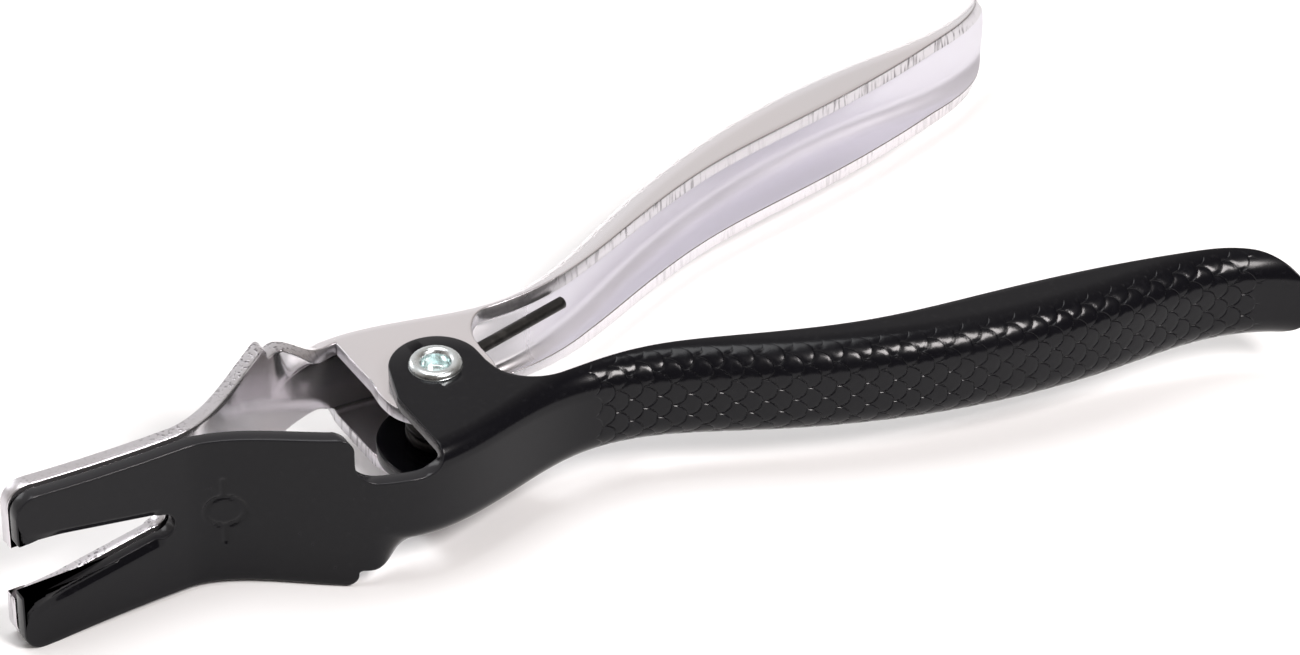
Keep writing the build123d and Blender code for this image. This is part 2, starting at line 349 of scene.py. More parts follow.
    def slot_half(self, x):
        """Half width of the V slot: a circle at its root, then two straight edges."""
        angle = self.sizes.slot_angle
        radius = self.sizes.slot_root
        touch = self.root - radius * np.sin(angle)
        circle = np.sqrt(np.clip(radius ** 2 - (x - self.root) ** 2, 0, None))
        edge = radius * np.cos(angle) + (touch - x) * np.tan(angle)
        return np.where(x < touch, edge, circle)

    def stations(self):
        """Spine positions, and for each side the outline's points (x, w), as arrays of one length.

        Every segment runs along the spine and along both outlines together. Where an outline runs
        square to the tool, the lines across the sheet fan out from a short stretch of spine.
        """
        lift = self.spine_height
        corner_turn = np.linspace(0, np.pi / 2, self.TURN_ROWS + 1)
        spine, upper, lower = [], [], []

        def add(at, top, bottom):
            spine.append(at)
            upper.append(np.stack(top, -1))
            lower.append(np.stack(bottom, -1))

        def plate(at, edge):
            """Both outlines of the jaw plate, level with each other."""
            rise = self.jaw_half(edge)
            add(at, (edge, rise - lift), (edge, -rise - lift))

        root_end = self.root + self.sizes.slot_root
        tip_turn = np.linspace(0, np.pi / 2, self.TIP_ROWS)
        tip_x = TIP + self.PRONG_ROUND * (1 - np.cos(tip_turn))
        prong_x = np.concatenate([
            tip_x, np.linspace(tip_x[-1], self.root, self.PRONG_ROWS)[1:],
            self.root + self.sizes.slot_root * np.sin(tip_turn)[1:]])
        short = self.PRONG_ROUND - np.clip(prong_x - TIP, 0, self.PRONG_ROUND)
        cut = self.PRONG_ROUND - np.sqrt(self.PRONG_ROUND ** 2 - short ** 2)
        top = self.jaw_half(prong_x) - cut
        add(prong_x, (prong_x, top - lift), (prong_x, -top - lift))
        self.slot_stations = len(prong_x)
        self.slot_edge = self.slot_half(prong_x) + cut

        marked = np.linspace(root_end, self.PLATE_EVEN, self.PLATE_ROWS)[1:]
        plate(marked, marked)
        late = np.linspace(self.PLATE_EVEN, self.CORNER_START, self.LATE_ROWS)[1:]
        corner = self.JAW_BACK - self.BACK_ROUND
        plate(late, np.interp(
            late, [self.PLATE_EVEN, self.CORNER_START], [self.PLATE_EVEN, corner]))

        # the plate's rounded back corner, and down its back edge to the notch
        rows = self.TURN_ROWS + self.EDGE_ROWS
        steps = np.concatenate([corner_turn[1:], np.full(self.EDGE_ROWS, np.pi / 2)])
        slide = np.concatenate([
            np.zeros(self.TURN_ROWS), np.linspace(1 / self.EDGE_ROWS, 1, self.EDGE_ROWS)])
        back_rise = self.jaw_half(np.array(self.JAW_BACK))
        x = corner + self.BACK_ROUND * np.sin(steps)
        z = back_rise - self.BACK_ROUND * (1 - np.cos(steps))
        top_stop = self.NECK_TOP + self.NOTCH
        low_stop = self.NECK_FOOT - self.FOOT_ROUND
        add(np.linspace(self.CORNER_START, self.JAW_BACK, rows + 1)[1:],
            (x, z + slide * (top_stop - z) - lift), (x, -z + slide * (low_stop + z) - lift))

        # the neck between two hollow corners
        lean = self.JAW_BACK + self.NOTCH * (1 - np.cos(corner_turn[1:]))
        low_centre = self.JAW_BACK + self.FOOT_ROUND

        def neck_low(x):
            """Lower edge: a quarter circle at the plate, then a smooth climb to the cheeks."""
            reach = np.clip(low_centre - x, 0, self.FOOT_ROUND)
            rise = self.NECK_RISE * ramp(x, self.JAW_BACK, self.FRONT)
            return low_stop + np.sqrt(self.FOOT_ROUND ** 2 - reach ** 2) + rise - lift

        notch_front = self.FRONT - self.NOTCH
        notch_back = self.JAW_BACK + self.NOTCH
        level = np.linspace(notch_back, notch_front, self.NECK_ROWS)[1:]
        climb = notch_front + self.NOTCH * np.sin(corner_turn[1:])
        neck = np.concatenate([lean, level, climb])
        reach = np.maximum(np.maximum(notch_back - neck, neck - notch_front), 0)
        reach = np.minimum(reach, self.NOTCH)
        neck_top = top_stop - np.sqrt(self.NOTCH ** 2 - reach ** 2) - lift
        add(neck, (neck, neck_top), (neck, neck_low(neck)))

        # the cheeks' front edges, straight up from the neck to the ears' shoulders
        rows = self.FRONT_ROWS
        front_x = np.full(rows, self.FRONT)
        shoulder = self.over_fold(np.array(self.FRONT), np.array(self.SHOULDER))
        add(np.linspace(self.FRONT, self.EAR_START, rows + 1)[1:],
            (front_x, np.linspace(neck_top[-1], shoulder, rows + 1)[1:]),
            (front_x, -np.linspace(-lower[-1][-1, 1], shoulder, rows + 1)[1:]))

        # round the ears, and back down to the waist
        rows = self.EAR_ROWS
        foot = self.EAR_SWEEP + self.WAIST_EDGE
        add(np.linspace(self.EAR_START, self.OUTER_EAR, rows + 1)[1:],
            self.ear(self.OUTER_EAR, (self.OUTER_EAR, foot), rows, 1),
            self.ear(self.INNER_EAR, (self.INNER_EAR, foot), rows, -1))
        self.sweep_side(add, np.linspace(self.OUTER_EAR, self.WAIST, self.WAIST_ROWS)[1:])

        grip = np.linspace(self.WAIST, END - self.END_ROUND, self.GRIP_ROWS)[1:]
        end_turn = np.linspace(0, np.pi / 2, self.END_ROWS)[1:]
        round_end = END - self.END_ROUND * (1 - np.sin(end_turn))
        handle = np.concatenate([grip, round_end])
        w = self.handle_width(handle)
        add(handle, (handle, w), (handle, -w))
        return np.concatenate(spine), np.concatenate(upper), np.concatenate(lower)

    def ear(self, radius, foot, rows, side):
        """Outline from a cheek's front shoulder, along the tangent, round the ear, to its foot."""
        start = np.array([self.FRONT, self.SHOULDER])
        away = np.hypot(*start)
        tangent = np.arctan2(start[1], start[0]) % (2 * np.pi) - np.arccos(min(radius / away, 1))
        turns = np.linspace(tangent, 0.0, self.EAR_POINTS)
        path = np.concatenate([
            start[None], np.stack([radius * np.cos(turns), radius * np.sin(turns)], -1),
            np.array(foot)[None]])
        run = np.concatenate([[0], np.cumsum(np.hypot(*np.diff(path, axis=0).T))])
        at = np.linspace(0, run[-1], rows + 1)[1:]
        x = np.interp(at, run, path[:, 0])
        y = np.interp(at, run, path[:, 1])
        return x, side * self.over_fold(x, y)

    def sweep_side(self, add, spine):
        """The hollow between the ears and the waist: a quarter of an ellipse on each side."""
        def hollow(ear, x):
            across = (self.WAIST - x) / (self.WAIST - ear)
            drop = self.EAR_SWEEP * np.sqrt(np.clip(1 - across ** 2, 0, None))
            return self.over_fold(x, self.EAR_SWEEP + self.WAIST_EDGE - drop)
        low_x = np.interp(spine, [self.OUTER_EAR, self.WAIST], [self.INNER_EAR, self.WAIST])
        add(spine, (spine, hollow(self.OUTER_EAR, spine)),
            (low_x, -hollow(self.INNER_EAR, low_x)))

    def handle_width(self, x):
        """Half width of the flat handle: by the cut edge's depth, and by the rounded end.

        Over the rounded end the height allowed by its circle is turned into a width over the fold.
        """
        by_depth = self.over_fold(x, self.edge(x)[0])
        into = np.clip(x - (END - self.END_ROUND), 0, self.END_ROUND)
        high = self.half - self.END_ROUND + np.sqrt(self.END_ROUND ** 2 - into ** 2)
        flat, radius = self.flat_half(x), self.fold_radius(x)
        around = radius * np.arcsin(np.clip((high - flat) / radius, 0, 1))
        by_end = np.where(high < flat, high, flat + around)
        fade = (1 - (into / self.END_ROUND) ** 2) ** 1.5
        return np.minimum(by_depth, by_end + np.clip(by_depth - by_end, 0, None) * fade)

    def across(self, spine, start, outline, side):
        """Grid of (x, w) from the spine to one outline, with its columns lined up on the fold."""
        web_columns, fold_columns, cheek_columns = self.COLUMNS
        total = web_columns + fold_columns + cheek_columns
        length = np.abs(outline[:, 1] - start)
        first = np.minimum((self.flat_half(spine) - side * start) / length, web_columns / total)
        second = np.minimum((self.folded(spine) - side * start) / length,
                            (web_columns + fold_columns) / total)
        second = np.maximum(second, first)
        keys = np.array([0, web_columns, web_columns + fold_columns, total])
        columns = np.arange(total + 1)
        span = np.clip(np.searchsorted(keys, columns, side="right") - 1, 0, 2)
        share = (columns - keys[span]) / (keys[span + 1] - keys[span])
        stops = np.stack([np.zeros_like(first), first, second, np.ones_like(first)], -1)
        fraction = stops[:, span] * (1 - share) + stops[:, span + 1] * share
        x = spine[:, None] + (outline[:, :1] - spine[:, None]) * fraction
        w = start[:, None] + (outline[:, 1:] - start[:, None]) * fraction
        return x, w


# ======================================================================= pressed relief
SCALES_START = (21 * MM, 24 * MM)  # the scales fade in over this stretch
SCALES_STOP = (6 * MM, 10 * MM)  # and out over this one, from the handle's end
SCALES_SIDE = (1.5 * MM, 4.0 * MM)  # and out over this one, below the top of a fold
GROOVE = 0.28 * MM  # a groove's half width, where its bell has fallen to 1/e
LINE = 0.16 * MM  # half width of the material's line in a groove
RING = 3.0 * MM  # the mark's ring radius, half its bar, and its groove
BAR = 6.5 * MM
MARK_EDGE = (0.25 * MM, 0.6 * MM)
MARK_CENTRE = (-43.5 * MM, 0.0)
BEVEL_TIP = (0.5 * MM, 9.0 * MM)  # the bevel fades in over this stretch, from the tip
BEVEL_ROOT = (-1.2 * MM, 0.4 * MM)  # and out over this one, about the slot's root


def scale_relief(x, w, pitch):
    """Grooves of the grip: half circles that bulge towards the handle's end.

    The circles' centres stand on rows half a pitch apart, every second row shifted by half a pitch.
    A point's groove is as deep as it is near to the nearest half circle, falling off as a bell.
    """
    radius = pitch / 2
    near = np.full_like(x, radius)
    row = np.floor(x / radius)
    for back in (0, 1):
        n = row - back
        shift = (n % 2) * radius
        column = np.round((w - shift) / pitch)
        along = x - n * radius
        from_centre = np.hypot(along, w - shift - column * pitch)
        near = np.minimum(near, np.abs(from_centre - radius))
    return np.exp(-(near / GROOVE) ** 2)


def scale_zone(sheet, x, w):
    """Where the grip is scaled: 1 inside, fading to 0 at the waist, at the end and up the folds."""
    along = ramp(x, *SCALES_START) * ramp(x, END - SCALES_STOP[0], END - SCALES_STOP[1])
    top = sheet.folded(x)
    return along * ramp(np.abs(w), top - SCALES_SIDE[0], top - SCALES_SIDE[1])


def ring_mark(x, z, centre):
    """A plain ring with a bar that stands out of it above and below, as grooves of one width."""
    across = z - centre[1]
    along = x - centre[0]
    ring = np.abs(np.hypot(along, across) - RING)
    bar = np.hypot(along, np.clip(np.abs(across) - BAR, 0, None))
    inside = np.hypot(along, across) < RING
    near = np.where(inside, ring, np.minimum(ring, bar))
    return 1 - ramp(near, *MARK_EDGE)


def pressed_depth(sheet, x, w, from_slot):
    """How far the outer face is pressed in: scales, plus the slot's bevel, plus the mark.

    The bevel falls in a straight line from its full depth at the slot to nothing at its width.
    """
    sizes = sheet.sizes
    depth = scale_zone(sheet, x, w) * sizes.scale_depth * scale_relief(x, w, sizes.scale_pitch)
    bevel = np.clip(1 - from_slot / sizes.bevel_width, 0, 1)
    bevel = bevel * (1 - ramp(x, sheet.root + BEVEL_ROOT[0], sheet.root + BEVEL_ROOT[1]))
    bevel = bevel * ramp(x, TIP + BEVEL_TIP[0], TIP + BEVEL_TIP[1])
    mark = ring_mark(x, w + sheet.spine_height, MARK_CENTRE)
    return depth + sizes.bevel_depth * bevel + sizes.mark_depth * mark


# ======================================================================= meshes
def grid_faces(index):
    """Quads of a grid of vertex numbers."""
    return np.stack([index[:-1, :-1], index[1:, :-1], index[1:, 1:], index[:-1, 1:]], -1).reshape(-1, 4)


def border_edges(faces, count):
    """Edges that only one face has, in that face's direction."""
    edges = np.concatenate([faces[:, [k, (k + 1) % 4]] for k in range(4)])
    low, high = edges.min(1), edges.max(1)
    _, first, uses = np.unique(low * count + high, return_index=True, return_counts=True)
    return edges[first[uses == 1]]


def unit(vectors):
    """Vectors divided by their own lengths."""
    return vectors / np.maximum(np.linalg.norm(vectors, axis=-1, keepdims=True), 1e-12)


def solid_from_sheet(outer, inner, normals, faces, ease):
    """Closes a sheet: outer faces, inner faces turned round, and an eased rim along the border.

    A rim point leaves the face along a quarter circle of the ease radius, crosses the cut edge, and
    meets the other face along a second quarter circle. Returns points, faces and a rim mask.
    """
    count = len(outer)
    border = border_edges(faces, count)
    run = outer[border[:, 1]] - outer[border[:, 0]]
    out = np.zeros_like(outer)
    for end in (0, 1):
        np.add.at(out, border[:, end], np.cross(unit(run), normals[border[:, end]]))
    out = unit(out)
    rim = np.unique(border)
    through = unit(inner[rim] - outer[rim])
    low = np.pi / 4
    turns = ((outer, 1, low), (outer, 1, 2 * low), (inner, -1, 2 * low), (inner, -1, low))
    rows = [
        face[rim] + way * through * ease * (1 - np.cos(turn)) + out[rim] * ease * np.sin(turn)
        for face, way, turn in turns]
    number = np.full(count, -1)
    number[rim] = np.arange(len(rim))
    a, b = border[:, 0], border[:, 1]
    levels = [(a, b)] + [
        (2 * count + k * len(rim) + number[a], 2 * count + k * len(rim) + number[b])
        for k in range(len(rows))] + [(a + count, b + count)]
    sides = [
        np.stack([one[1], one[0], two[0], two[1]], -1)
        for one, two in zip(levels[:-1], levels[1:])]
    points = np.concatenate([outer, inner] + rows)
    mask = np.zeros(len(points))
    mask[2 * count:] = 1
    return points, np.concatenate([faces, faces[:, ::-1] + count] + sides), mask


def make_piece(name, points, faces, marks=None):
    """A smooth mesh object in place, with optional point attributes."""
    mesh = bpy.data.meshes.new(name)
    mesh.from_pydata(points.tolist(), [], faces if isinstance(faces, list) else faces.tolist())
    mesh.update()
    mesh.polygons.foreach_set("use_smooth", np.ones(len(mesh.polygons), bool))
    for attribute, values in (marks or {}).items():
        layer = mesh.attributes.new(attribute, "FLOAT", "POINT")
        layer.data.foreach_set("value", np.asarray(values, np.float32))
    piece = bpy.data.objects.new(name, mesh)
    bpy.context.scene.collection.objects.link(piece)
    return piece


def lever_surface(sizes):
    """Points, faces and marks of the black lever about the middle of the stack.

    The marks are the flat sheet's own coordinates, the scaled zone, the inside of the trough and
    the cut edges. Past the waist the rim mark is weakened along the black lever's upper cheek,
    which the plated lever has below; on the plated lever this paler rim is a painted highlight.
    """
    # share of the rim colour kept where the rim is painted paler, as a painted highlight
    weak_rim_share = 0.3
    sheet = PressedSheet(sizes)
    spine, upper, lower = sheet.stations()
    centre = -sheet.spine_height * (1 - ramp(spine, sheet.CENTRE_START, sheet.FRONT))
    gap = np.zeros(len(spine))
    gap[:sheet.slot_stations] = sheet.slot_edge
    sides = []
    for outline, side in ((upper, 1), (lower, -1)):
        x, w = sheet.across(spine, centre + side * gap, outline, side)
        from_slot = np.abs(w - (centre + side * gap)[:, None])
        from_slot = np.where(gap[:, None] > 0, from_slot, 1.0)
        sunk = pressed_depth(sheet, x, w, from_slot)
        flat = np.stack([x, w, scale_zone(sheet, x, w)], -1)
        sides.append([part.reshape(-1, 3) for part in (*sheet.place(x, w, sunk), flat)])
    rows, columns = x.shape
    index_up = np.arange(rows * columns).reshape(rows, columns)
    index_low = index_up + rows * columns
    root = sheet.slot_stations - 1
    index_low[root:, 0] = index_up[root:, 0]
    faces = np.concatenate([grid_faces(index_up)[:, ::-1], grid_faces(index_low)])
    used, packed = np.unique(faces, return_inverse=True)
    faces = packed.reshape(-1, 4)[:, ::-1]
    outer, inner, normals, flat = (np.concatenate(pair)[used] for pair in zip(*sides))
    points, faces, rim = solid_from_sheet(outer, inner, normals, faces, sizes.ease)
    count = len(outer)
    marks = {name: np.zeros(len(points)) for name in ("along", "around", "scaled", "inside")}
    for name, values in zip(("along", "around", "scaled"), flat.T):
        marks[name][:count] = values
    marks["inside"][count:2 * count] = ramp(inner[:, 0], sheet.WAIST, 2 * sheet.WAIST)
    # painted highlight: past the waist the plated lever's lower cheek rim keeps only part of the
    # sheared and torn colour, so it shows paler
    weak_rim_zone = (points[:, 2] > 0) & (points[:, 0] > sheet.WAIST)
    marks["rim"] = np.where(weak_rim_zone, weak_rim_share, 1.0) * rim
    return points, faces, marks


def revolved(profile, segments=96):
    """Turns a profile of (radius, height) about the pivot axis. Points on the axis close it."""
    profile = np.asarray(profile, float)
    turn = np.linspace(0, 2 * np.pi, segments, endpoint=False)
    ring = profile[1:-1]
    points = np.stack([
        ring[:, :1] * np.cos(turn), ring[:, :1] * np.sin(turn),
        np.repeat(ring[:, 1:], segments, 1)], -1).reshape(-1, 3)
    index = np.arange(len(points)).reshape(len(ring), segments)
    index = np.concatenate([index, index[:, :1]], 1)
    faces = grid_faces(index)[:, ::-1].tolist()
    bottom, top = len(points), len(points) + 1
    faces += [[bottom, b, a] for a, b in zip(index[0, :-1], index[0, 1:])]
    faces += [[top, a, b] for a, b in zip(index[-1, :-1], index[-1, 1:])]
    ends = [[0, 0, profile[0, 1]], [0, 0, profile[-1, 1]]]
    return np.concatenate([points, ends]), faces


def arc(centre, radius, start, stop, count=8, squash=1.0):
    """Points of a circle's arc, angles in degrees, its height scaled by squash."""
    turn = np.radians(np.linspace(start, stop, count))
    return np.stack([centre[0] + radius * np.cos(turn),
                     centre[1] + radius * squash * np.sin(turn)], -1)


def tube(path, radius, ends, sides=28):
    """A round wire: a circle set square to a path that never runs upright, and carried along it.

    Each end is flat, and eased by a smaller circle that stands out by the ease.
    """
    along = unit(np.gradient(path, axis=0))
    side = unit(np.cross(along, [0, 0, 1]))
    up = np.cross(side, along)
    turn = np.linspace(0, 2 * np.pi, sides, endpoint=False)
    circle = np.cos(turn)[:, None, None] * side + np.sin(turn)[:, None, None] * up
    points = (path + radius * circle).transpose(1, 0, 2)
    eased = [path[0] - along[0] * ends + (radius - ends) * circle[:, 0],
             path[-1] + along[-1] * ends + (radius - ends) * circle[:, -1]]
    rings = np.concatenate([eased[0][None], points, eased[1][None]])
    index = np.arange(len(rings) * sides).reshape(-1, sides)
    index = np.concatenate([index, index[:, :1]], 1)
    faces = grid_faces(index).tolist()
    return rings.reshape(-1, 3), faces + [index[0, :-1].tolist(), index[-1, -2::-1].tolist()]


def outward(piece):
    """Turns a closed mesh the right way out, by the sign of its volume."""
    mesh = piece.data
    mesh.calc_loop_triangles()
    corners = np.zeros(len(mesh.vertices) * 3)
    mesh.vertices.foreach_get("co", corners)
    corners = corners.reshape(-1, 3)
    loops = np.zeros(len(mesh.loop_triangles) * 3, int)
    mesh.loop_triangles.foreach_get("vertices", loops)
    a, b, c = corners[loops.reshape(-1, 3)].transpose(1, 0, 2)
    if np.einsum("ij,ij->i", a, np.cross(b, c)).sum() < 0:
        mesh.flip_normals()
    return piece


def cut_bore(piece, radius):
    """Cuts the rivet's hole through both ears."""
    height = (RIVET_HIGH.z - RIVET_LOW.z) * 2
    profile = [(0, -height), (radius, -height), (radius, height), (0, height)]
    points, faces = revolved(np.array(profile) + [0, MIDDLE], segments=72)
    drill = outward(make_piece("drill", points, faces))
    cut = piece.modifiers.new("bore", "BOOLEAN")
    cut.object = drill
    cut.operation = "DIFFERENCE"
    cut.solver = "EXACT"
    graph = bpy.context.evaluated_depsgraph_get()
    mesh = bpy.data.meshes.new_from_object(piece.evaluated_get(graph))
    piece.modifiers.clear()
    piece.data = mesh
    bpy.data.objects.remove(drill)


# ======================================================================= finishes
class Finish:
    """A node material with short helpers for its nodes and links."""

    def __init__(self, name):
        self.material = bpy.data.materials.new(name)
        self.material.use_nodes = True
        self.tree = self.material.node_tree
        self.shader = self.tree.nodes["Principled BSDF"]
        self.place = self.add("ShaderNodeTexCoord").outputs["Object"]

    def add(self, kind, inputs=None, **settings):
        """A new node: its settings, and its inputs as values or as outputs to link."""
        node = self.tree.nodes.new(kind)
        for key, value in settings.items():
            setattr(node, key, value)
        for key, value in (inputs or {}).items():
            if hasattr(value, "is_output"):
                self.tree.links.new(value, node.inputs[key])
            else:
                node.inputs[key].default_value = value
        return node

    def noise(self, scale, detail=2.0, stretch=(1, 1, 1)):
        """Cloudy noise on the piece's own coordinates."""
        moved = self.add("ShaderNodeMapping", {"Vector": self.place, "Scale": stretch})
        node = self.add("ShaderNodeTexNoise", {
            "Vector": moved.outputs["Vector"], "Scale": scale, "Detail": detail})
        return node.outputs["Fac"]

    def spread(self, value, low, high, start=0.3, stop=0.7):
        """Low where the value is at start, high where it is at stop, and even between them."""
        node = self.add("ShaderNodeMapRange", {
            "Value": value, "From Min": start, "From Max": stop, "To Min": low, "To Max": high})
        return node.outputs["Result"]

    def blend(self, share, one, two):
        """Colour one, going over to two as the share rises."""
        node = self.add("ShaderNodeMix", {0: share, 6: one, 7: two}, data_type="RGBA")
        return node.outputs[2]

    def mark(self, name):
        """One of the mesh's own marks."""
        return self.add("ShaderNodeAttribute", attribute_name=name).outputs["Fac"]

    def maths(self, one, two, operation="MULTIPLY"):
        return self.add("ShaderNodeMath", {0: one, 1: two}, operation=operation).outputs[0]

    def bump(self, height, distance, strength=1.0, under=None):
        """A normal bent by a height, on top of another normal if there is one."""
        inputs = {"Height": height, "Distance": distance, "Strength": strength}
        if under is not None:
            inputs["Normal"] = under
        return self.add("ShaderNodeBump", inputs).outputs["Normal"]

    def link(self, output, socket):
        self.tree.links.new(output, self.shader.inputs[socket])


def scale_lines(finish, pitch):
    """Height of the scaled surface: 1, and 0 along the half circles that scale_relief presses."""
    maths, mark, radius = finish.maths, finish.mark, pitch / 2
    along, around = mark("along"), mark("around")
    row = maths(maths(along, 1 / radius), 0.0, "FLOOR")
    near = radius
    for back in (0, 1):
        line = maths(row, back, "SUBTRACT")
        shift = maths(maths(line, 2.0, "FLOORED_MODULO"), radius)
        aside = maths(maths(around, shift, "SUBTRACT"), radius, "ADD")
        aside = maths(maths(aside, pitch, "FLOORED_MODULO"), radius, "SUBTRACT")
        ahead = maths(along, maths(line, radius), "SUBTRACT")
        square = maths(maths(ahead, 2.0, "POWER"), maths(aside, aside), "ADD")
        off = maths(maths(square, 0.5, "POWER"), radius, "SUBTRACT")
        near = maths(maths(off, 0.0, "ABSOLUTE"), near, "MINIMUM")
    line = finish.spread(near, 1.0, 0.0, 0.0, LINE)
    return maths(1.0, maths(line, mark("scaled")), "SUBTRACT")


def black_coat(colours, pitch):
    """Semi-gloss black coat: fine orange peel, crisp scale lines, and paler cut edges."""
    finish = Finish("black_coat")
    grey = (0.035, 0.035, 0.038, 1.0)
    dust = finish.spread(finish.noise(900, 3), 0.0, 0.10, 0.55, 0.75)
    colour = finish.blend(dust, tuple(colours.coat), grey)
    colour = finish.blend(finish.maths(finish.mark("rim"), 0.5), colour, grey)
    finish.link(colour, "Base Color")
    finish.link(finish.spread(finish.noise(60, 4, (1, 1, 3)), 0.15, 0.25), "Roughness")
    peel = finish.bump(finish.noise(1400, 2), 0.02 * MM, 0.25)
    finish.link(finish.bump(scale_lines(finish, pitch), 0.18 * MM, 0.9, peel), "Normal")
    finish.shader.inputs["Specular IOR Level"].default_value = 0.18
    finish.shader.inputs["Coat Weight"].default_value = 0.06
    finish.shader.inputs["Coat Roughness"].default_value = 0.12
    return finish.material


def bright_plating(colours, pitch):
    """Bright plating: rose and lilac clouds, a hazier trough with painted shade, and patches of torn
    cut edge.
    """
    finish = Finish("bright_plating")
    rose = (0.90, 0.84, 0.85, 1.0)
    colour = finish.blend(finish.spread(finish.noise(28, 2), 0, 0.7), tuple(colours.plating), rose)
    # painted shade: the trough's inner face is painted a darker lilac grey, for the dimmer light inside
    # the recess
    shaded = (0.71, 0.70, 0.76, 1.0)
    colour = finish.blend(finish.mark("inside"), colour, shaded)
    sheared = (0.50, 0.49, 0.52, 1.0)
    colour = finish.blend(finish.maths(finish.mark("rim"), 0.6), colour, sheared)
    streak = finish.noise(1500, 3, (1.0, 1.0, 0.12))
    patch = finish.spread(finish.noise(55, 1), 0.15, 1.0, 0.42, 0.56)
    torn = finish.maths(finish.mark("rim"), finish.spread(streak, 0, 0.9, 0.52, 0.66))
    torn = finish.maths(torn, patch)
    dark = (0.10, 0.09, 0.10, 1.0)
    colour = finish.blend(torn, colour, dark)
    finish.link(colour, "Base Color")
    haze = finish.spread(finish.noise(90, 4), 0.12, 0.20)
    rough = finish.maths(finish.maths(finish.mark("rim"), 0.15), haze, "ADD")
    rough = finish.maths(finish.maths(finish.mark("inside"), 0.22), rough, "ADD")
    finish.link(rough, "Roughness")
    waves = finish.bump(finish.noise(120, 1), 0.06 * MM, 0.35)
    scales = finish.bump(scale_lines(finish, pitch), 0.12 * MM, 0.7, waves)
    finish.link(finish.bump(torn, 0.08 * MM, 0.8, scales), "Normal")
    dull = finish.maths(finish.mark("inside"), 0.45)
    finish.link(finish.maths(0.94, dull, "SUBTRACT"), "Metallic")
    return finish.material


def zinc_rivet(colours):
    """Zinc plated steel with turning marks, tinted inside the hollow."""
    finish = Finish("zinc_rivet")
    mottle = finish.spread(finish.noise(700, 3), 0.0, 0.5)
    pale = (0.80, 0.82, 0.82, 1.0)
    colour = finish.blend(mottle, tuple(colours.zinc), pale)
    colour = finish.blend(finish.mark("hollow"), colour, tuple(colours.hollow))
    finish.link(colour, "Base Color")
    finish.link(finish.spread(finish.noise(500, 3), 0.18, 0.34), "Roughness")
    finish.link(finish.bump(finish.noise(800, 2), 0.04 * MM, 0.5), "Normal")
    finish.shader.inputs["Metallic"].default_value = 1.0
    return finish.material


def spring_wire(colours):
    """Satin blackened wire with faint drawing marks."""
    finish = Finish("spring_wire")
    worn = finish.spread(finish.noise(420, 3), 0.0, 0.5, 0.5, 0.8)
    bare = (0.09, 0.085, 0.08, 1.0)
    finish.link(finish.blend(worn, tuple(colours.wire), bare), "Base Color")
    finish.link(finish.spread(finish.noise(300, 3), 0.30, 0.46), "Roughness")
    finish.link(finish.bump(finish.noise(1200, 2), 0.03 * MM, 0.4), "Normal")
    finish.shader.inputs["Metallic"].default_value = 0.6
    return finish.material


def finish_piece(piece, material, slot, body, *nodes):
    """Gives a piece its material, and stands it in for CAD nodes on a body. The slot is not used."""
    piece.data.materials.clear()
    piece.data.materials.append(material)
    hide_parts(*nodes)
    if body:
        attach(piece, body)


# ======================================================================= operators
class PLIERS_OT_levers(Operator):
    """Press both levers: one sheet, and the same sheet turned half a turn about the long axis"""
    bl_idname = "pliers.levers"
    bl_label = "Press Levers"

    def execute(self, context):
        colours = context.scene.pliers_colours
        sizes = context.scene.pliers_sheet
        points, faces, marks = lever_surface(sizes)
        middle = np.array([0, 0, MIDDLE])
        makes = (
            ("black_side", "black_lever", np.array([1, 1, 1]), black_coat, "black_coat"),
            ("plated_side", "plated_lever", np.array([1, -1, -1]), bright_plating, "bright_plating"))
        bore = context.scene.pliers_rivet.shank + BORE_GAP
        for body, node, turned, finish, slot in makes:
            piece = make_piece(node + "_pressing", points * turned + middle, faces, marks)
            outward(piece)
            cut_bore(piece, bore)
            finish_piece(piece, finish(colours, sizes.scale_pitch), slot, body, node)
        return {"FINISHED"}


class PLIERS_OT_rivet(Operator):
    """Turn the semi-tubular rivet: factory head, shank, rolled-over end and blind hollow"""
    bl_idname = "pliers.rivet"
    bl_label = "Turn Rivet"
    HEAD_HEIGHT = 1.2 * MM
    ROLL_HEIGHT = 1.1 * MM
    EASE = 0.4 * MM
    ROLL_INSET = 0.12 * MM  # the roll's middle line, in from halfway across it
    LIP = 0.3 * MM  # how far the roll's inner side runs down
    DIMPLE = ((0.6 * MM, 0.35 * MM), (0, 0.45 * MM))  # radius, and depth below the hollow's floor
    TINT_SLACK = 0.05 * MM  # the tint reaches this far outside the hollow's radius
    TINT_TOP = 0.7 * MM  # and ends this far below the top

    def execute(self, context):
        sizes = context.scene.pliers_rivet
        low, high = RIVET_LOW.z, RIVET_HIGH.z
        head = RIVET_HIGH.x
        head_top = low + self.HEAD_HEIGHT
        roll_low = high - self.ROLL_HEIGHT
        ease = self.EASE
        middle = (sizes.hollow + head) / 2 - self.ROLL_INSET
        half = middle - sizes.hollow
        floor = high - sizes.hollow_depth
        profile = np.concatenate([
            [(0, low), (head - 3 * ease, low)],
            arc((head - ease, low + ease), ease, -90, 0),
            [(head, head_top), (sizes.shank, head_top), (sizes.shank, roll_low),
             (middle + half, roll_low)],
            arc((middle, roll_low), half, 0, 180, count=20, squash=(high - roll_low) / half),
            [(sizes.hollow, roll_low - self.LIP), (sizes.hollow, floor + ease)],
            arc((sizes.hollow - ease, floor + ease), ease, 0, -90)[1:],
            [(radius, floor - depth) for radius, depth in self.DIMPLE]])
        points, faces = revolved(profile)
        near_axis = np.hypot(points[:, 0], points[:, 1]) < sizes.hollow + self.TINT_SLACK
        below = points[:, 2] < high - self.TINT_TOP
        hollow = near_axis & (points[:, 2] > floor - MM) & below
        piece = outward(make_piece("pivot_rivet_turned", points, faces, {"hollow": hollow}))
        finish_piece(piece, zinc_rivet(context.scene.pliers_colours), "zinc_rivet", "black_side",
                     "pivot_rivet")
        return {"FINISHED"}


